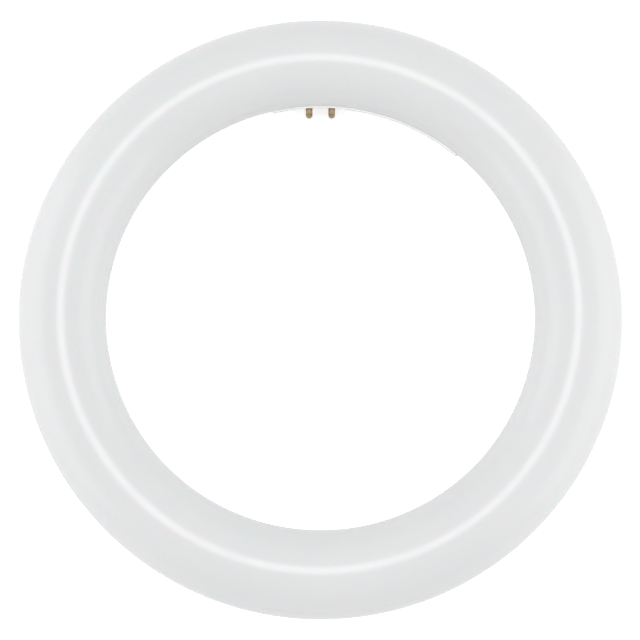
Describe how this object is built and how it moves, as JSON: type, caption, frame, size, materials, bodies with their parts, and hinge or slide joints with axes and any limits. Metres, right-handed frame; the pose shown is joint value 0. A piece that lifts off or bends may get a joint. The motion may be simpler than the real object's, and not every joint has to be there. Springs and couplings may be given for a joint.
{
  "type": "circular tube lamp",
  "caption": "Ring-shaped opal tube lamp of round section, with a white round back and a brass pin base on its inner edge, held by clips and a plug in a round light fitting.",
  "frame": {"origin": "centre of the ring, in the middle plane of the tube", "axes": "+Z out of the light side, which faces up as the ring lies on its round back; the pin base is on the +Y side and its pins point along -Y, to the ring's centre"},
  "size_m": [0.205, 0.205, 0.0295],
  "materials": {
    "opal": "opal, soft gloss",
    "white": "moulded white, satin",
    "brass": "turned, slightly dull"
  },
  "bodies": {
    "root": {"front_diffuser": "opal", "rear_housing": "white", "pin_base": "white", "contact_pin_1": "brass", "contact_pin_2": "brass", "contact_pin_3": "brass", "contact_pin_4": "brass"}
  },
  "joints": []
}
